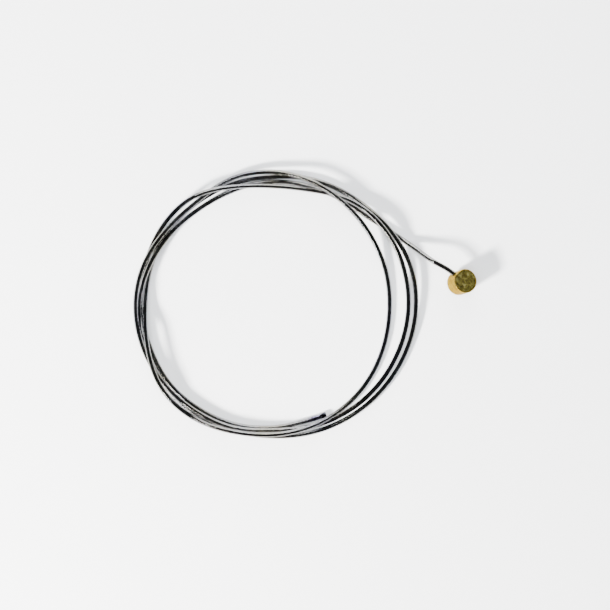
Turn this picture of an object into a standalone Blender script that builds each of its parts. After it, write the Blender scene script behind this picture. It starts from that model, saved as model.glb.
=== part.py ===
"""Inner brake cable for a bicycle: a steel strand in a loose coil, with a brass barrel nipple.

Metres, +Z up. The cable lies on the plane z = 0, with the middle of its outline above the origin.
"""
import math

import bmesh
import bpy
from mathutils import Matrix, Vector

# Strand
STRAND_DIAMETER = 0.0015
STRAND_RADIUS = STRAND_DIAMETER / 2
FLOOR_CLEARANCE = 0.00003

# Barrel nipple. RIM_KNEE is how far in and down the rim's middle edge lies, as a share of the rim.
NIPPLE_DIAMETER = 0.0075
NIPPLE_LENGTH = 0.0064
RIM_WIDTH = 0.0005
RIM_DROP = 0.00035
RIM_KNEE = 0.3
FACE_SEGMENTS = 72
SHARP_ANGLE = math.radians(30)

# Bore that holds the strand's end
BORE_CLEARANCE = 0.0003
BORE_PAST_MIDDLE = 0.0022
MOUTH_WIDENING = 0.0004
MOUTH_DEPTH = 0.0006
BORE_SEGMENTS = 24

# The coil's middle in the frame
COIL_X = -0.00966
COIL_Y = -0.00055

# How the nipple lies: the middle of its barrel from the coil's middle, its lean, and the way that
# the strand leaves it
NIPPLE_X = 0.05856
NIPPLE_Y = 0.00746
NIPPLE_LEAN = math.radians(22)
NIPPLE_LEAN_HEADING = math.radians(18)
EXIT_HEADING = math.radians(143.5)
STRAIGHT_EXIT = 0.0030

# Strands that cross lie this far apart, middle to middle
CROSSING_CLEARANCE = 0.0004
LAYER = STRAND_DIAMETER + CROSSING_CLEARANCE

# The stretch from the nipple down to the coil: x and y from the coil's middle in millimetres, and
# the layer that it is in
NIPPLE_RUN = (
    (50.5, 13.4, 2.70),
    (44.0, 18.0, 1.12),
    (39.4, 21.2, 0.06),
    (33.8, 25.0, 0.00),
    (28.4, 28.4, 0.00),
)

# The coil, counter-clockwise from above. Each point is its distance from the coil's middle in
# millimetres, and the layer that it is in. The points of a turn are one COIL_STEP apart.
COIL_STEP = math.radians(18)
COIL_START = math.radians(54)
FIRST_TURN = (
    (39.5, 0.00), (38.9, 0.00), (38.8, 0.00), (38.3, 0.00), (38.2, 0.00), (39.3, 0.65),
    (40.8, 1.05), (42.1, 1.10), (42.4, 0.40), (42.4, 0.00), (41.7, 0.00), (40.9, 0.00),
    (40.7, 0.00), (41.3, 0.00), (42.0, 0.00), (42.8, 0.00), (43.7, 0.05),
)
SECOND_TURN = (
    (44.4, 0.50), (44.3, 1.00), (43.0, 1.00), (41.9, 0.05), (41.3, 0.10), (40.4, 0.15),
    (40.3, 0.00), (40.3, 0.00), (40.6, 0.00), (40.4, 0.00), (40.2, 0.80), (41.4, 2.20),
    (43.3, 2.10), (43.0, 0.95), (41.2, 1.70), (40.1, 1.75), (39.3, 1.20), (38.3, 0.50),
    (37.3, 0.00), (36.4, 0.00),
)
THIRD_TURN = (
    (36.1, 0.00), (36.6, 0.20), (37.3, 1.10), (38.6, 2.10), (40.4, 2.00), (41.8, 0.95),
    (41.9, 0.57), (40.5, 1.02), (41.0, 1.20), (42.5, 1.50), (43.1, 2.00), (42.8, 1.30),
    (42.0, 1.05), (40.9, 1.00), (40.0, 1.00), (38.8, 1.00), (39.4, 0.10), (40.2, 0.00),
    (40.8, 0.00), (41.4, 0.00),
)
LAST_TURN = (
    (42.0, 0.05), (42.2, 0.70), (41.9, 1.80), (40.6, 1.25), (38.0, 0.95), (37.4, 0.60),
    (39.1, 1.35), (42.1, 1.95), (42.8, 0.30), (42.2, 0.00), (41.6, 0.00), (40.8, 0.00),
    (40.7, 0.00), (39.8, 0.00), (39.0, 0.00), (38.0, 0.00), (37.3, 0.00),
)
LAST_HEADING = math.radians(295.5)
LAST_RADIUS = 37.6


def layer_height(layer):
    """Height of the strand's middle in a layer, counted from the one that lies on the plane."""
    return STRAND_RADIUS + FLOOR_CLEARANCE + layer * LAYER


def millimetres(value):
    return value / 1000


def from_coil(x, y, height):
    """Point of the frame that lies x and y from the coil's middle."""
    return Vector((COIL_X + x, COIL_Y + y, height))


def nipple_axes():
    """Return the barrel's axis, the strand's way out of it and the direction square to both."""
    across = math.sin(NIPPLE_LEAN)
    axis = Vector((
        across * math.cos(NIPPLE_LEAN_HEADING),
        across * math.sin(NIPPLE_LEAN_HEADING),
        math.cos(NIPPLE_LEAN),
    ))
    level = Vector((math.cos(EXIT_HEADING), math.sin(EXIT_HEADING), 0))
    way_out = (level - axis * level.dot(axis)).normalized()
    return axis, way_out, axis.cross(way_out)


def rim_edges():
    """Radius and height of the upper rim's three edges, from the side in to the end face."""
    radius = NIPPLE_DIAMETER / 2
    half = NIPPLE_LENGTH / 2
    return (
        (radius, half - RIM_DROP),
        (radius - RIM_WIDTH * RIM_KNEE, half - RIM_DROP * RIM_KNEE),
        (radius - RIM_WIDTH, half),
    )


def nipple_middle():
    """Middle of the barrel, as high as its lower rim on the plane puts it."""
    across = math.sin(NIPPLE_LEAN)
    along = math.cos(NIPPLE_LEAN)
    rest = max(radius * across + height * along for radius, height in rim_edges())
    return from_coil(NIPPLE_X, NIPPLE_Y, rest)


def coil_point(heading, radius, layer):
    reach = millimetres(radius)
    return from_coil(reach * math.cos(heading), reach * math.sin(heading), layer_height(layer))


def strand_route():
    """Points of the strand's middle, from its end in the nipple to its free end."""
    middle = nipple_middle()
    way_out = nipple_axes()[1]
    points = [
        middle - way_out * (BORE_PAST_MIDDLE - BORE_CLEARANCE),
        middle + way_out * (NIPPLE_DIAMETER / 2 + STRAIGHT_EXIT),
    ]
    for x, y, layer in NIPPLE_RUN:
        points.append(from_coil(millimetres(x), millimetres(y), layer_height(layer)))
    heading = COIL_START
    for radius, layer in FIRST_TURN + SECOND_TURN + THIRD_TURN + LAST_TURN:
        points.append(coil_point(heading, radius, layer))
        heading += COIL_STEP
    points.append(coil_point(LAST_HEADING, LAST_RADIUS, 0))
    return points


def make_material(name, color, roughness):
    material = bpy.data.materials.new(name)
    material.use_nodes = True
    shader = material.node_tree.nodes["Principled BSDF"]
    shader.inputs["Base Color"].default_value = (*color, 1)
    shader.inputs["Metallic"].default_value = 1
    shader.inputs["Roughness"].default_value = roughness
    return material


def add_mesh_object(name, bm):
    mesh = bpy.data.meshes.new(name)
    bm.to_mesh(mesh)
    bm.free()
    piece = bpy.data.objects.new(name, mesh)
    bpy.context.scene.collection.objects.link(piece)
    return piece


def turned_solid(name, profile, segments):
    """Spin a closed profile of (radius, height) pairs, first and last on the axis, about Z."""
    bm = bmesh.new()
    ring = [bm.verts.new((radius, 0, height)) for radius, height in profile]
    edges = [bm.edges.new(pair) for pair in zip(ring, ring[1:])]
    bmesh.ops.spin(
        bm, geom=ring + edges, axis=(0, 0, 1), cent=(0, 0, 0), steps=segments, angle=math.tau
    )
    bmesh.ops.remove_doubles(bm, verts=bm.verts, dist=0.000001)
    bmesh.ops.recalc_face_normals(bm, faces=bm.faces)
    return add_mesh_object(name, bm)


def bore_cutter():
    """Radial bore with a flared mouth, turned about Z with its mouth up."""
    bore_radius = STRAND_RADIUS + BORE_CLEARANCE
    surface = NIPPLE_DIAMETER / 2
    profile = (
        (0, -BORE_PAST_MIDDLE),
        (bore_radius, -BORE_PAST_MIDDLE),
        (bore_radius, surface - MOUTH_DEPTH),
        (bore_radius + MOUTH_WIDENING, surface),
        (bore_radius + MOUTH_WIDENING, surface + MOUTH_DEPTH),
        (0, surface + MOUTH_DEPTH),
    )
    return turned_solid("bore_cutter", profile, BORE_SEGMENTS)


def make_nipple(material):
    """Turned barrel with rounded-off rims and the strand's bore in its side."""
    upper = rim_edges() + ((0, NIPPLE_LENGTH / 2),)
    lower = tuple((radius, -height) for radius, height in reversed(upper))
    nipple = turned_solid("nipple", lower + upper, FACE_SEGMENTS)

    cutter = bore_cutter()
    cutter.rotation_euler = (0, math.pi / 2, 0)
    cutter.parent = nipple
    cutter.hide_render = True
    cutter.display_type = "WIRE"
    cut = nipple.modifiers.new("strand_bore", "BOOLEAN")
    cut.operation = "DIFFERENCE"
    cut.object = cutter

    axis, way_out, square = nipple_axes()
    turn = Matrix((way_out, square, axis)).transposed().to_4x4()
    nipple.matrix_world = Matrix.Translation(nipple_middle()) @ turn
    nipple.data.shade_smooth()
    nipple.data.set_sharp_from_angle(angle=SHARP_ANGLE)
    nipple.data.materials.append(material)
    return nipple


def make_strand(material):
    """Round tube along the route, with closed ends."""
    curve = bpy.data.curves.new("strand", "CURVE")
    curve.dimensions = "3D"
    curve.bevel_depth = STRAND_RADIUS
    curve.bevel_resolution = 2
    curve.use_fill_caps = True
    points = strand_route()
    spline = curve.splines.new("POLY")
    spline.points.add(len(points) - 1)
    for place, point in zip(spline.points, points):
        place.co = (*point, 1)
    strand = bpy.data.objects.new("strand", curve)
    bpy.context.scene.collection.objects.link(strand)
    strand.data.materials.append(material)
    return strand


def main():
    for old in list(bpy.data.objects):
        bpy.data.objects.remove(old)
    brass = make_material("brass", (0.72, 0.58, 0.25), 0.32)
    steel = make_material("stainless_steel", (0.62, 0.63, 0.65), 0.25)
    make_nipple(brass)
    make_strand(steel)


main()
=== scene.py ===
# Looks of a bicycle's inner brake cable: a bright twisted steel strand that lies in a loose coil,
# with a brass barrel nipple on one end. Metres, +Z up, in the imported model's frame.
import math

import bpy
import numpy as np
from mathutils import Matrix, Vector

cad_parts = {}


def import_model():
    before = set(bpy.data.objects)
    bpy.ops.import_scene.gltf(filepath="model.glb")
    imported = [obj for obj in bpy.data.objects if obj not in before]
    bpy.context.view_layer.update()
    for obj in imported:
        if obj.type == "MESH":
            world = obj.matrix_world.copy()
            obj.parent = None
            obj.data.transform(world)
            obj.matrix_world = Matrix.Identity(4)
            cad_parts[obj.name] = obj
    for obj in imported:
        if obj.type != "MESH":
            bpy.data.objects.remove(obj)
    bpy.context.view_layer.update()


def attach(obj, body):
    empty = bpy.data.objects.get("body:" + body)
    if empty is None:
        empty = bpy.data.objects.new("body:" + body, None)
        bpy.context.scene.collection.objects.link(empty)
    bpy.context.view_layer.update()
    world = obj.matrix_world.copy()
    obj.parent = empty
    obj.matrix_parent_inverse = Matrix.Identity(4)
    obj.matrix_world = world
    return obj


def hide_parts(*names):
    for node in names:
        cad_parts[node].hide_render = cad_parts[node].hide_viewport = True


# Sizes that the CAD source gives too
STRAND_DIAMETER = 0.0015
STRAND_RADIUS = STRAND_DIAMETER / 2
FLOOR_CLEARANCE = 0.00003
CROSSING_CLEARANCE = 0.0004
LAYER = STRAND_DIAMETER + CROSSING_CLEARANCE
NIPPLE_DIAMETER = 0.0075
NIPPLE_LENGTH = 0.0064
RIM_WIDTH = 0.0005
RIM_DROP = 0.00035
RIM_KNEE = 0.3
BORE_CLEARANCE = 0.0003
BORE_PAST_MIDDLE = 0.0022
COIL_X = -0.00966
COIL_Y = -0.00055
NIPPLE_X = 0.05856
NIPPLE_Y = 0.00746
NIPPLE_LEAN = math.radians(22)
NIPPLE_LEAN_HEADING = math.radians(18)
EXIT_HEADING = math.radians(143.5)
STRAIGHT_EXIT = 0.0030

# The route of the strand, as in the CAD source: x and y in millimetres and the layer, then the
# coil's distance from its middle in millimetres and the layer, one COIL_STEP after another
NIPPLE_RUN = (
    (50.5, 13.4, 2.70),
    (44.0, 18.0, 1.12),
    (39.4, 21.2, 0.06),
    (33.8, 25.0, 0.00),
    (28.4, 28.4, 0.00),
)
COIL_STEP = math.radians(18)
COIL_START = math.radians(54)
FIRST_TURN = (
    (39.5, 0.00), (38.9, 0.00), (38.8, 0.00), (38.3, 0.00), (38.2, 0.00), (39.3, 0.65),
    (40.8, 1.05), (42.1, 1.10), (42.4, 0.40), (42.4, 0.00), (41.7, 0.00), (40.9, 0.00),
    (40.7, 0.00), (41.3, 0.00), (42.0, 0.00), (42.8, 0.00), (43.7, 0.05),
)
SECOND_TURN = (
    (44.4, 0.50), (44.3, 1.00), (43.0, 1.00), (41.9, 0.05), (41.3, 0.10), (40.4, 0.15),
    (40.3, 0.00), (40.3, 0.00), (40.6, 0.00), (40.4, 0.00), (40.2, 0.80), (41.4, 2.20),
    (43.3, 2.10), (43.0, 0.95), (41.2, 1.70), (40.1, 1.75), (39.3, 1.20), (38.3, 0.50),
    (37.3, 0.00), (36.4, 0.00),
)
THIRD_TURN = (
    (36.1, 0.00), (36.6, 0.20), (37.3, 1.10), (38.6, 2.10), (40.4, 2.00), (41.8, 0.95),
    (41.9, 0.57), (40.5, 1.02), (41.0, 1.20), (42.5, 1.50), (43.1, 2.00), (42.8, 1.30),
    (42.0, 1.05), (40.9, 1.00), (40.0, 1.00), (38.8, 1.00), (39.4, 0.10), (40.2, 0.00),
    (40.8, 0.00), (41.4, 0.00),
)
LAST_TURN = (
    (42.0, 0.05), (42.2, 0.70), (41.9, 1.80), (40.6, 1.25), (38.0, 0.95), (37.4, 0.60),
    (39.1, 1.35), (42.1, 1.95), (42.8, 0.30), (42.2, 0.00), (41.6, 0.00), (40.8, 0.00),
    (40.7, 0.00), (39.8, 0.00), (39.0, 0.00), (38.0, 0.00), (37.3, 0.00),
)
LAST_HEADING = math.radians(295.5)
LAST_RADIUS = 37.6

# The strand's wires: twelve outer wires round a core, laid with one turn in each WIRE_LAY
OUTER_WIRES = 12
WIRE_RADIUS = 0.00015
WIRE_PITCH_RADIUS = STRAND_RADIUS - WIRE_RADIUS
WIRE_LAY = 0.0126
POINTS_PER_WIRE = 4
RING_SPACING = 0.00058
ROUTE_SAMPLES = 20000
GROOVE_FLOOR = 0.00061
GROOVE_FILL = 0.66

# The free end, where heat has run the wires together. The cap's radius rises over the share
# CAP_BLEND of its length on both sides of its start. CAP_KNEE is how far along and how far in the
# middle of its rounded edge lies, as shares of CAP_ROUNDING. The heat's colours reach HEAT_LENGTH.
WELD_LENGTH = 0.0058
CAP_LENGTH = 0.0013
CAP_BLEND = 0.25
CAP_KNEE = (0.7, 0.3)
CAP_RADIUS = 0.00088
CAP_ROUNDING = 0.00012
HEAT_LENGTH = 0.0070

# The nipple's mesh, and how deep its end faces, its worn side and the dip round the strand go
NIPPLE_CORNERS = 240
RIM_POINTS = 9
FACE_RINGS = 56
SIDE_RINGS = 72
FACE_HOLLOW = 0.00006
SIDE_WEAR = 0.000012
EXIT_DIP = 0.0005

# Random patches: a table of this many values each way, and a shift that keeps its places positive
LATTICE_SIZE = 64
LATTICE_SHIFT = 0.01

FLOOR_HALF = 0.9

# The picture: the lens looks straight down at this point of the floor
VIEW_X = 0.00003
VIEW_Y = -0.00024
VIEW_HEIGHT = 1.2
VIEW_WIDTH = 0.1906
SENSOR_WIDTH = 36.0


def millimetres(value):
    """Lengths given in millimetres, in metres."""
    return value / 1000


def layer_height(layer):
    """Height of the strand's middle in a layer, counted from the one that lies on the floor."""
    return STRAND_RADIUS + FLOOR_CLEARANCE + layer * LAYER


def nipple_axes():
    """The barrel's axis, the strand's way out of it and the direction square to both."""
    across = math.sin(NIPPLE_LEAN)
    axis = np.array([
        across * math.cos(NIPPLE_LEAN_HEADING),
        across * math.sin(NIPPLE_LEAN_HEADING),
        math.cos(NIPPLE_LEAN),
    ])
    level = np.array([math.cos(EXIT_HEADING), math.sin(EXIT_HEADING), 0.0])
    way_out = level - axis * (level @ axis)
    way_out = way_out / np.linalg.norm(way_out)
    return axis, way_out, np.cross(axis, way_out)


def nipple_middle():
    """Middle of the barrel, which leans on its lower rim."""
    inward = RIM_WIDTH * np.array([0, RIM_KNEE, 1])
    downward = RIM_DROP * np.array([1, RIM_KNEE, 0])
    rest = np.max(
        (NIPPLE_DIAMETER / 2 - inward) * math.sin(NIPPLE_LEAN)
        + (NIPPLE_LENGTH / 2 - downward) * math.cos(NIPPLE_LEAN)
    )
    return np.array([COIL_X + NIPPLE_X, COIL_Y + NIPPLE_Y, rest])


def route_points():
    """The CAD route's points: in the nipple, out of it, down to the coil and round it."""
    way_out = nipple_axes()[1]
    middle = nipple_middle()
    run = np.array(NIPPLE_RUN)
    turns = np.array(FIRST_TURN + SECOND_TURN + THIRD_TURN + LAST_TURN + ((LAST_RADIUS, 0.0),))
    heading = COIL_START + COIL_STEP * np.arange(len(turns))
    heading[-1] = LAST_HEADING
    start = [
        middle - way_out * (BORE_PAST_MIDDLE - BORE_CLEARANCE),
        middle + way_out * (NIPPLE_DIAMETER / 2 + STRAIGHT_EXIT),
    ]
    down = np.stack([
        COIL_X + millimetres(run[:, 0]),
        COIL_Y + millimetres(run[:, 1]),
        layer_height(run[:, 2]),
    ], 1)
    coil = np.stack([
        COIL_X + millimetres(turns[:, 0]) * np.cos(heading),
        COIL_Y + millimetres(turns[:, 0]) * np.sin(heading),
        layer_height(turns[:, 1]),
    ], 1)
    return np.concatenate([start, down, coil])


def bends(place, value):
    """Second derivatives of the natural cubic spline through value at place."""
    step = np.diff(place)
    slope = np.diff(value, axis=0) / step[:, None]
    system = np.diag(np.concatenate([[1.0], 2 * (step[:-1] + step[1:]), [1.0]]))
    inner = np.arange(1, len(place) - 1)
    system[inner, inner - 1] = step[:-1]
    system[inner, inner + 1] = step[1:]
    right = np.zeros_like(value)
    right[1:-1] = 6 * np.diff(slope, axis=0)
    return np.linalg.solve(system, right)


def rises(place, height):
    """Slopes for a height that never passes its points: zero at each hill and dip, and elsewhere
    the harmonic mean of the slopes on both sides."""
    slope = np.diff(height) / np.diff(place)
    before = slope[:-1]
    after = slope[1:]
    same = before * after > 0
    mean = np.zeros(len(before))
    mean[same] = 2 * before[same] * after[same] / (before[same] + after[same])
    return np.concatenate([[slope[0]], mean, [slope[-1]]])


def smooth_route(spacing):
    """One smooth line through the route's points, cut into equal steps of about spacing.

    Along the chord length t, x and y follow a natural cubic spline. The height follows a cubic
    with the slopes of rises(), so that it neither sinks into the floor nor lifts between points.
    """
    points = route_points()
    place = np.concatenate([[0.0], np.cumsum(np.linalg.norm(np.diff(points, axis=0), axis=1))])
    curve = bends(place, points[:, :2])
    slope = rises(place, points[:, 2])

    def at(t):
        """The route's points at the chord lengths t."""
        k = np.clip(np.searchsorted(place, t, side="right") - 1, 0, len(place) - 2)
        step = place[k + 1] - place[k]
        b = (t - place[k]) / step
        a = 1 - b
        flat = a[:, None] * points[k, :2] + b[:, None] * points[k + 1, :2]
        bend = (a ** 3 - a)[:, None] * curve[k] + (b ** 3 - b)[:, None] * curve[k + 1]
        flat = flat + bend * (step ** 2 / 6)[:, None]
        height = (
            points[k, 2] * a * a * (1 + 2 * b) + points[k + 1, 2] * b * b * (1 + 2 * a)
            + step * (slope[k] * b * a * a - slope[k + 1] * a * b * b)
        )
        return np.column_stack([flat, height])

    fine = np.linspace(0, place[-1], ROUTE_SAMPLES)
    line = at(fine)
    run = np.concatenate([[0.0], np.cumsum(np.linalg.norm(np.diff(line, axis=0), axis=1))])
    count = int(round(run[-1] / spacing))
    along = np.linspace(0, run[-1], count + 1)
    return at(np.interp(along, run, fine)), along


def side_frame(line):
    """Unit vectors along the line, level across it, and square to both."""
    along = np.gradient(line, axis=0)
    along = along / np.linalg.norm(along, axis=1)[:, None]
    across = np.cross(np.array([0.0, 0.0, 1.0]), along)
    across = across / np.linalg.norm(across, axis=1)[:, None]
    return along, across, np.cross(along, across)


def softstep(value, low, high):
    """Rise from 0 at low to 1 at high, level at both: 3 t squared less 2 t cubed."""
    t = np.clip((value - low) / (high - low), 0, 1)
    return t * t * (3 - 2 * t)


def mesh_piece(name, points, faces, uv=None, values=()):
    """A mesh object from arrays: points, faces, a UV pair for each corner of a face, and named
    values for each point."""
    mesh = bpy.data.meshes.new(name)
    mesh.from_pydata(points.tolist(), [], faces)
    mesh.update()
    if uv is not None:
        layer = mesh.uv_layers.new(name="lay_of_wires")
        layer.data.foreach_set("uv", np.asarray(uv, np.float32).ravel())
    for label, value in values:
        attribute = mesh.attributes.new(label, "FLOAT", "POINT")
        attribute.data.foreach_set("value", np.asarray(value, np.float32))
    mesh.polygons.foreach_set("use_smooth", np.ones(len(mesh.polygons), bool))
    piece = bpy.data.objects.new(name, mesh)
    bpy.context.scene.collection.objects.link(piece)
    return piece


def closed_faces(rings, corners):
    """Faces of a closed tube, as lists of point numbers.

    Four-cornered faces join rings of corners points each. A fan of three-cornered faces closes
    each end, round its own point. The two end points come after all rings.
    """
    here = np.arange(corners)
    ahead = (here + 1) % corners
    ring = np.arange(rings - 1)[:, None] * corners
    quads = np.stack([ring + here, ring + ahead, ring + corners + ahead, ring + corners + here], 2)
    last = (rings - 1) * corners
    first_fan = np.stack([ahead, here, np.full(corners, rings * corners)], 1)
    end_fan = np.stack([last + here, last + ahead, np.full(corners, rings * corners + 1)], 1)
    return quads.reshape(-1, 4).tolist() + first_fan.tolist() + end_fan.tolist()


def wire_section(turn):
    """The strand's radius at each angle of its section, and the depth in a groove from 0 to 1.

    The radius is that of the outermost of twelve circles of WIRE_RADIUS on a circle of
    WIRE_PITCH_RADIUS, or GROOVE_FLOOR where that is larger. Drawing the strand smooth has closed
    each groove by the share GROOVE_FILL.
    """
    half_gap = math.pi / OUTER_WIRES
    off = (turn + half_gap) % (2 * half_gap) - half_gap
    side = WIRE_PITCH_RADIUS * np.sin(off)
    wires = WIRE_PITCH_RADIUS * np.cos(off) + np.sqrt(np.maximum(WIRE_RADIUS ** 2 - side ** 2, 0))
    deepest = STRAND_RADIUS - GROOVE_FLOOR
    groove = (STRAND_RADIUS - np.maximum(wires, GROOVE_FLOOR)) / deepest
    return STRAND_RADIUS - (1 - GROOVE_FILL) * groove * deepest, groove


def lay_uv(run, corners):
    """UV pairs of the closed tube's face corners: run, the distance along the strand at each ring,
    and the share of the turn round it."""
    here = np.arange(corners)
    rows = np.arange(len(run) - 1)
    quad_u = run[np.repeat(rows, corners)[:, None] + np.array([0, 0, 1, 1])]
    quad_v = np.tile(here, len(rows))[:, None] / corners + np.array([0, 1, 1, 0]) / corners
    fan_v = here[:, None] / corners + np.array([1, 0, 0.5]) / corners
    parts = [np.stack([quad_u, quad_v], 2).reshape(-1, 2)]
    for end in (run[0], run[-1]):
        parts.append(np.stack([np.full_like(fan_v, end), fan_v], 2).reshape(-1, 2))
    return np.concatenate(parts)


def make_strand():
    """The twisted strand, as one closed surface.

    At distance s along the route, a point at angle a of the wires' section has the direction
    a + 2 pi s / WIRE_LAY round the line. Over WELD_LENGTH before the free end the radius runs over
    into a plain round one, and the last CAP_LENGTH is a cap with a rounded edge. Nothing goes
    lower than FLOOR_CLEARANCE.
    """
    line, along = smooth_route(RING_SPACING)
    forward, across, upward = side_frame(line)
    corners = OUTER_WIRES * POINTS_PER_WIRE
    turn = 2 * math.pi * np.arange(corners) / corners
    wires, groove = wire_section(turn)

    left = along[-1] - along
    weld = 1 - softstep(left, CAP_LENGTH, WELD_LENGTH)
    cap = 1 - softstep(left, CAP_LENGTH * (1 - CAP_BLEND), CAP_LENGTH * (1 + CAP_BLEND))
    radius = wires[None] * (1 - weld)[:, None] + STRAND_RADIUS * weld[:, None]
    radius = radius + (CAP_RADIUS - STRAND_RADIUS) * cap[:, None]
    angle = turn[None] + 2 * math.pi * along[:, None] / WIRE_LAY
    rings = line[:, None] + radius[..., None] * (
        np.cos(angle)[..., None] * across[:, None] + np.sin(angle)[..., None] * upward[:, None]
    )
    edge = np.array([
        [CAP_ROUNDING * CAP_KNEE[0], CAP_RADIUS - CAP_ROUNDING * CAP_KNEE[1]],
        [CAP_ROUNDING, CAP_RADIUS - CAP_ROUNDING],
        [CAP_ROUNDING, CAP_RADIUS / 2],
    ])
    round_end = line[-1] + edge[:, 0, None, None] * forward[-1] + edge[:, 1, None, None] * (
        np.cos(angle[-1])[:, None] * across[-1] + np.sin(angle[-1])[:, None] * upward[-1]
    )
    inner = line[:1, None] + 0.5 * (rings[:1] - line[:1, None])
    rings = np.concatenate([inner, rings, round_end])
    rings[..., 2] = np.maximum(rings[..., 2], FLOOR_CLEARANCE)
    end = line[-1] + forward[-1] * CAP_ROUNDING
    points = np.concatenate([rings.reshape(-1, 3), line[:1], end[None]])

    run = np.concatenate([along[:1], along, np.full(len(edge), along[-1])]) / STRAND_DIAMETER
    # The groove's depth at each point, which the steel's colour turns into painted shade; it fades
    # out over the welded end and is nought on the cap.
    in_groove = np.concatenate([
        groove[None], groove[None] * (1 - weld)[:, None], np.zeros((len(edge), corners)),
    ]).ravel()
    to_end = np.repeat(np.concatenate([left[:1], left, np.zeros(len(edge))]), corners)
    values = (
        ("groove", np.concatenate([in_groove, [0, 0]])),
        ("to_free_end", np.concatenate([to_end, [left[0], 0]])),
    )
    faces = closed_faces(len(rings), corners)
    strand = mesh_piece("twisted_strand", points, faces, lay_uv(run, corners), values)
    return strand, line, along[-1]


def lattice_noise(x, y, cell, seed):
    """Smooth random heights from -1 to 1: random values on a square lattice of cell, blended with
    a soft step between its corners."""
    table = np.random.default_rng(seed).uniform(-1, 1, (LATTICE_SIZE, LATTICE_SIZE))
    column = np.floor(x / cell).astype(int)
    row = np.floor(y / cell).astype(int)
    a = softstep(x / cell - column, 0, 1)
    b = softstep(y / cell - row, 0, 1)
    left = column % LATTICE_SIZE
    right = (column + 1) % LATTICE_SIZE
    below = row % LATTICE_SIZE
    above = (row + 1) % LATTICE_SIZE
    low = table[below, left] * (1 - a) + table[below, right] * a
    high = table[above, left] * (1 - a) + table[above, right] * a
    return low * (1 - b) + high * b


def face_pits(x, y):
    """Depth of the end faces' hollows and pits: random patches of three sizes, the middle ones
    slanted. Each line gives their depth, their size and their table's seed."""
    slant_x = x * 0.5 + y + LATTICE_SHIFT
    slant_y = y - x * 0.2 + LATTICE_SHIFT
    return (
        0.000040 * lattice_noise(x + LATTICE_SHIFT, y + LATTICE_SHIFT, 0.0011, 5)
        + 0.000030 * lattice_noise(slant_x, slant_y, 0.0006, 6)
        + 0.000016 * lattice_noise(x + LATTICE_SHIFT, y + LATTICE_SHIFT, 0.00028, 7)
    )


def nipple_outline():
    """Pairs of distance from the barrel's axis and height along it: from the middle of the lower
    face over a rim, up the side, over the upper rim and in to the middle of the upper face. Each
    rim is a quarter of an ellipse, RIM_WIDTH wide and RIM_DROP high."""
    radius = NIPPLE_DIAMETER / 2
    half = NIPPLE_LENGTH / 2
    quarter = np.linspace(0, math.pi / 2, RIM_POINTS)
    face_reach = np.linspace(0, radius - RIM_WIDTH, FACE_RINGS)[1:-1]
    side_height = np.linspace(-(half - RIM_DROP), half - RIM_DROP, SIDE_RINGS)[1:-1]
    lower_rim = np.stack([
        radius - RIM_WIDTH * (1 - np.sin(quarter)),
        -half + RIM_DROP * (1 - np.cos(quarter)),
    ], 1)
    return np.concatenate([
        np.stack([face_reach, np.full(len(face_reach), -half)], 1),
        lower_rim,
        np.stack([np.full(len(side_height), radius), side_height], 1),
        lower_rim[::-1] * (1, -1),
        np.stack([face_reach[::-1], np.full(len(face_reach), half)], 1),
    ])


def make_nipple():
    """The brass barrel, as one closed surface: its outline turned about its axis.

    The end faces lie FACE_HOLLOW and the pits' depth below the outline. The side is worn by
    random patches, and dips by EXIT_DIP where the strand comes out.
    """
    axis, way_out, square = nipple_axes()
    middle = nipple_middle()
    radius = NIPPLE_DIAMETER / 2
    outline = nipple_outline()
    turn = 2 * math.pi * np.arange(NIPPLE_CORNERS) / NIPPLE_CORNERS
    reach = np.repeat(outline[:, :1], NIPPLE_CORNERS, 1)
    height = np.repeat(outline[:, 1:], NIPPLE_CORNERS, 1)
    x = reach * np.cos(turn)
    y = reach * np.sin(turn)

    on_face = softstep(radius - reach, RIM_WIDTH * 0.4, RIM_WIDTH * 1.6)
    pits = face_pits(x, y)
    height = height - np.sign(height) * on_face * (FACE_HOLLOW + pits)
    around = np.repeat(turn[None] * radius, len(outline), 0)
    wear = SIDE_WEAR * lattice_noise(around, height + LATTICE_SHIFT, 0.0009, 8)
    from_exit = radius * np.where(turn > math.pi, turn - 2 * math.pi, turn)
    off = np.hypot(from_exit[None], height)
    dip = EXIT_DIP * (1 - softstep(off, STRAND_RADIUS * 0.8, STRAND_RADIUS * 1.75))
    on_side = 1 - softstep(radius - reach, 0, RIM_WIDTH)
    pull = (wear - dip) * on_side
    x = x + pull * np.cos(turn)
    y = y + pull * np.sin(turn)

    grid = middle + x[..., None] * way_out + y[..., None] * square + height[..., None] * axis
    face_middle = NIPPLE_LENGTH / 2 - FACE_HOLLOW
    ends = np.array([middle - axis * face_middle, middle + axis * face_middle])
    points = np.concatenate([grid.reshape(-1, 3), ends])
    # The pits' depth as a share of FACE_HOLLOW, which the brass's colour turns into painted shade.
    values = (
        ("end_face", np.concatenate([on_face.ravel(), [1, 1]])),
        ("hollow", np.concatenate([(on_face * pits / FACE_HOLLOW).ravel(), [0, 0]])),
    )
    faces = closed_faces(len(outline), NIPPLE_CORNERS)
    return mesh_piece("barrel_nipple", points, faces, None, values)


def new_material(name):
    """A new material, with its node tree and its shader."""
    material = bpy.data.materials.new(name)
    material.use_nodes = True
    tree = material.node_tree
    return material, tree, tree.nodes["Principled BSDF"]


def add_node(tree, kind, links=(), **settings):
    """A node with its settings, and (socket, value or output) pairs for its inputs."""
    node = tree.nodes.new(kind)
    for key, value in settings.items():
        setattr(node, key, value)
    for socket, value in links:
        if isinstance(value, bpy.types.NodeSocket):
            tree.links.new(value, node.inputs[socket])
        else:
            node.inputs[socket].default_value = value
    return node


def ramp(tree, value, stops):
    """A colour ramp over value, with (position, colour) stops."""
    node = add_node(tree, "ShaderNodeValToRGB", [("Fac", value)])
    elements = node.color_ramp.elements
    while len(elements) < len(stops):
        elements.new(0.5)
    for element, (position, color) in zip(elements, stops):
        element.position = position
        element.color = (*color, 1)
    return node.outputs["Color"]


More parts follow.
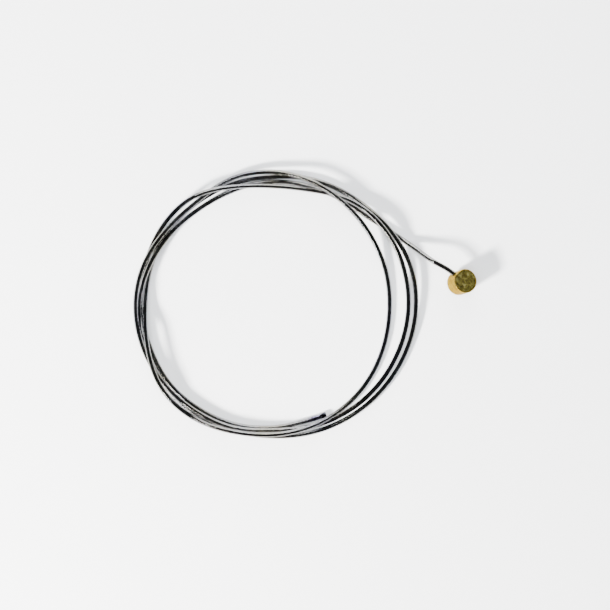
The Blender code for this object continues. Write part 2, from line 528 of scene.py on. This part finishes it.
def blend_colors(tree, share, first, second, how="MIX"):
    """Two colours blended by share, which is a number or an output."""
    node = add_node(tree, "ShaderNodeMix", [(0, share), (6, first), (7, second)],
                    data_type="RGBA", blend_type=how)
    return node.outputs[2]


def steel_material():
    """Bright drawn wires: fine lines along each wire, painted shade in the grooves between them,
    faint blue and olive tints, and a heat-darkened free end."""
    material, tree, shader = new_material("bright_steel")
    uv = add_node(tree, "ShaderNodeUVMap", uv_map="lay_of_wires").outputs["UV"]
    lines_place = add_node(tree, "ShaderNodeMapping", [("Vector", uv), ("Scale", (0.6, 90, 1))])
    lines = add_node(tree, "ShaderNodeTexNoise", [
        ("Vector", lines_place.outputs["Vector"]), ("Scale", 1.0), ("Detail", 3.0),
    ]).outputs["Fac"]
    place = add_node(tree, "ShaderNodeTexCoord").outputs["Object"]
    patches = add_node(tree, "ShaderNodeTexNoise", [
        ("Vector", place), ("Scale", 55.0), ("Detail", 2.0),
    ]).outputs["Fac"]
    groove = add_node(tree, "ShaderNodeAttribute", attribute_name="groove").outputs["Fac"]
    to_end = add_node(tree, "ShaderNodeAttribute", attribute_name="to_free_end").outputs["Fac"]

    tint = ramp(tree, patches, (
        (0.35, (0.36, 0.35, 0.31)), (0.52, (0.38, 0.385, 0.39)), (0.68, (0.34, 0.34, 0.39)),
    ))
    # Painted shade: the base colour falls to almost black deep in the grooves between the wires.
    shade = ramp(tree, groove, ((0.02, (1, 1, 1)), (0.55, (0.05, 0.05, 0.055))))
    color = blend_colors(tree, 1.0, tint, shade, "MULTIPLY")
    heat = add_node(tree, "ShaderNodeMapRange", [
        ("Value", to_end), ("From Max", HEAT_LENGTH),
    ]).outputs["Result"]
    burnt = ramp(tree, heat, (
        (0.16, (0.03, 0.03, 0.04)), (0.22, (0.26, 0.26, 0.31)), (0.30, (0.20, 0.19, 0.27)),
        (0.60, (0.09, 0.08, 0.14)), (0.90, (0.22, 0.20, 0.24)),
    ))
    near = ramp(tree, heat, ((0.55, (1, 1, 1)), (1.0, (0, 0, 0))))
    color = blend_colors(tree, near, color, burnt)
    tree.links.new(color, shader.inputs["Base Color"])
    shader.inputs["Metallic"].default_value = 1.0
    rough = add_node(tree, "ShaderNodeMapRange", [
        ("Value", lines), ("From Min", 0.3), ("From Max", 0.7), ("To Min", 0.05), ("To Max", 0.14),
    ]).outputs["Result"]
    tree.links.new(rough, shader.inputs["Roughness"])
    bump = add_node(tree, "ShaderNodeBump", [
        ("Strength", 0.25), ("Distance", 0.00002), ("Height", lines),
    ]).outputs["Normal"]
    tree.links.new(bump, shader.inputs["Normal"])
    return material


def brass_material():
    """Brass: a tan-gold, softly polished side, and end faces that are olive-gold, mottled and
    pitted, with painted shade that deepens in the pits."""
    material, tree, shader = new_material("barrel_brass")
    place = add_node(tree, "ShaderNodeTexCoord").outputs["Object"]
    face = add_node(tree, "ShaderNodeAttribute", attribute_name="end_face").outputs["Fac"]
    hollow = add_node(tree, "ShaderNodeAttribute", attribute_name="hollow").outputs["Fac"]
    spots = add_node(tree, "ShaderNodeTexNoise", [
        ("Vector", place), ("Scale", 900.0), ("Detail", 4.0), ("Roughness", 0.62),
        ("Distortion", 0.8),
    ]).outputs["Fac"]
    grain = add_node(tree, "ShaderNodeTexNoise", [
        ("Vector", place), ("Scale", 4200.0), ("Detail", 3.0),
    ]).outputs["Fac"]
    mottle = ramp(tree, spots, (
        (0.34, (0.07, 0.055, 0.012)), (0.47, (0.19, 0.16, 0.035)), (0.56, (0.30, 0.26, 0.07)),
        (0.68, (0.50, 0.46, 0.18)),
    ))
    # Painted shade: the end faces grow darker the deeper their pits, and a little lighter where
    # they are not hollowed.
    depth = ramp(tree, hollow, ((0.0, (1.1, 1.1, 1.05)), (0.9, (0.45, 0.43, 0.36))))
    end_color = blend_colors(tree, 0.75, mottle, depth, "MULTIPLY")
    side_color = ramp(tree, spots, (
        (0.30, (0.16, 0.105, 0.015)), (0.50, (0.27, 0.19, 0.035)), (0.70, (0.42, 0.32, 0.08)),
    ))
    color = blend_colors(tree, face, side_color, end_color)
    tree.links.new(color, shader.inputs["Base Color"])
    shader.inputs["Metallic"].default_value = 0.9
    shader.inputs["Specular Tint"].default_value = (0.62, 0.45, 0.16, 1)
    side_rough = add_node(tree, "ShaderNodeMapRange", [
        ("Value", spots), ("From Min", 0.3), ("From Max", 0.7), ("To Min", 0.30), ("To Max", 0.18),
    ]).outputs["Result"]
    rough = add_node(tree, "ShaderNodeMix", data_type="FLOAT")
    tree.links.new(face, rough.inputs[0])
    tree.links.new(side_rough, rough.inputs[2])
    rough.inputs[3].default_value = 0.46
    tree.links.new(rough.outputs[0], shader.inputs["Roughness"])
    bump = add_node(tree, "ShaderNodeBump", [
        ("Strength", 0.35), ("Distance", 0.00003), ("Height", grain),
    ]).outputs["Normal"]
    tree.links.new(bump, shader.inputs["Normal"])
    return material


def floor_material():
    """A matt floor, almost white, with a faint cloud."""
    material, tree, shader = new_material("pale_floor")
    place = add_node(tree, "ShaderNodeTexCoord").outputs["Object"]
    cloud = add_node(tree, "ShaderNodeTexNoise", [("Vector", place), ("Scale", 3.0)]).outputs["Fac"]
    tree.links.new(
        ramp(tree, cloud, ((0.3, (0.88, 0.885, 0.895)), (0.7, (0.90, 0.90, 0.90)))),
        shader.inputs["Base Color"],
    )
    shader.inputs["Roughness"].default_value = 0.85
    return material


def make_floor():
    """A level sheet under the cable."""
    half = FLOOR_HALF
    corners = np.array([[-half, -half, 0], [half, -half, 0], [half, half, 0], [-half, half, 0]])
    return mesh_piece("floor", corners, [[0, 1, 2, 3]])


def area_light(name, place, aim, size, power, color=(1, 1, 1)):
    """An oblong light at place that points at aim."""
    light = bpy.data.lights.new(name, "AREA")
    light.shape = "RECTANGLE"
    light.size = size[0]
    light.size_y = size[1]
    light.energy = power
    light.color = color
    lamp = bpy.data.objects.new(name, light)
    lamp.location = place
    lamp.rotation_euler = (Vector(aim) - Vector(place)).to_track_quat("-Z", "Y").to_euler()
    bpy.context.scene.collection.objects.link(lamp)
    return lamp


def studio_world():
    """A dark studio with a pale band round it, from the floor's far edge to a few degrees up."""
    world = bpy.data.worlds.new("dark_studio")
    world.use_nodes = True
    tree = world.node_tree
    place = add_node(tree, "ShaderNodeTexCoord").outputs["Generated"]
    height = add_node(tree, "ShaderNodeSeparateXYZ", [("Vector", place)]).outputs["Z"]
    light = ramp(tree, height, ((0.06, (1.0, 1.0, 1.0)), (0.13, (0.05, 0.05, 0.05))))
    tree.links.new(light, tree.nodes["Background"].inputs["Color"])
    return world


def set_stage():
    """The floor, the studio and its lights. The last two lights cast light and shadows, but don't
    show in the metal."""
    floor = make_floor()
    floor.data.materials.append(floor_material())
    bpy.context.scene.world = studio_world()
    area_light(
        "tall_softbox", place=(0.0, 0.675, 0.34), aim=(0.0, 0.44, 0), size=(0.56, 0.42), power=8.5
    )
    area_light(
        "low_softbox", place=(-0.45, -0.45, 0.24), aim=(0, 0, 0), size=(0.20, 0.10), power=3.0
    )
    fill = area_light(
        "fill_softbox", place=(0.0, 0.0, 1.6), aim=(0, 0, 0), size=(1.2, 1.2), power=50,
        color=(0.93, 0.965, 1.0),
    )
    fill.visible_glossy = False
    slant = area_light(
        "slanting_light", place=(-0.53, -0.38, 0.40), aim=(0, 0, 0), size=(0.12, 0.12), power=46,
        color=(1.0, 0.985, 0.96),
    )
    slant.visible_glossy = False


def set_camera():
    """A lens that looks straight down and takes in VIEW_WIDTH at the height of the strand."""
    data = bpy.data.cameras.new("camera")
    data.sensor_width = SENSOR_WIDTH
    data.sensor_fit = "HORIZONTAL"
    data.lens = SENSOR_WIDTH * (VIEW_HEIGHT - STRAND_RADIUS) / VIEW_WIDTH
    data.clip_start = 0.01
    camera = bpy.data.objects.new("camera", data)
    camera.location = (VIEW_X, VIEW_Y, VIEW_HEIGHT)
    bpy.context.scene.collection.objects.link(camera)
    bpy.context.scene.camera = camera


def main():
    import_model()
    set_camera()
    strand, line, length = make_strand()
    strand.data.materials.append(steel_material())
    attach(strand, "root")
    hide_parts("strand")
    nipple = make_nipple()
    nipple.data.materials.append(brass_material())
    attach(nipple, "root")
    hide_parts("nipple")
    set_stage()


main()
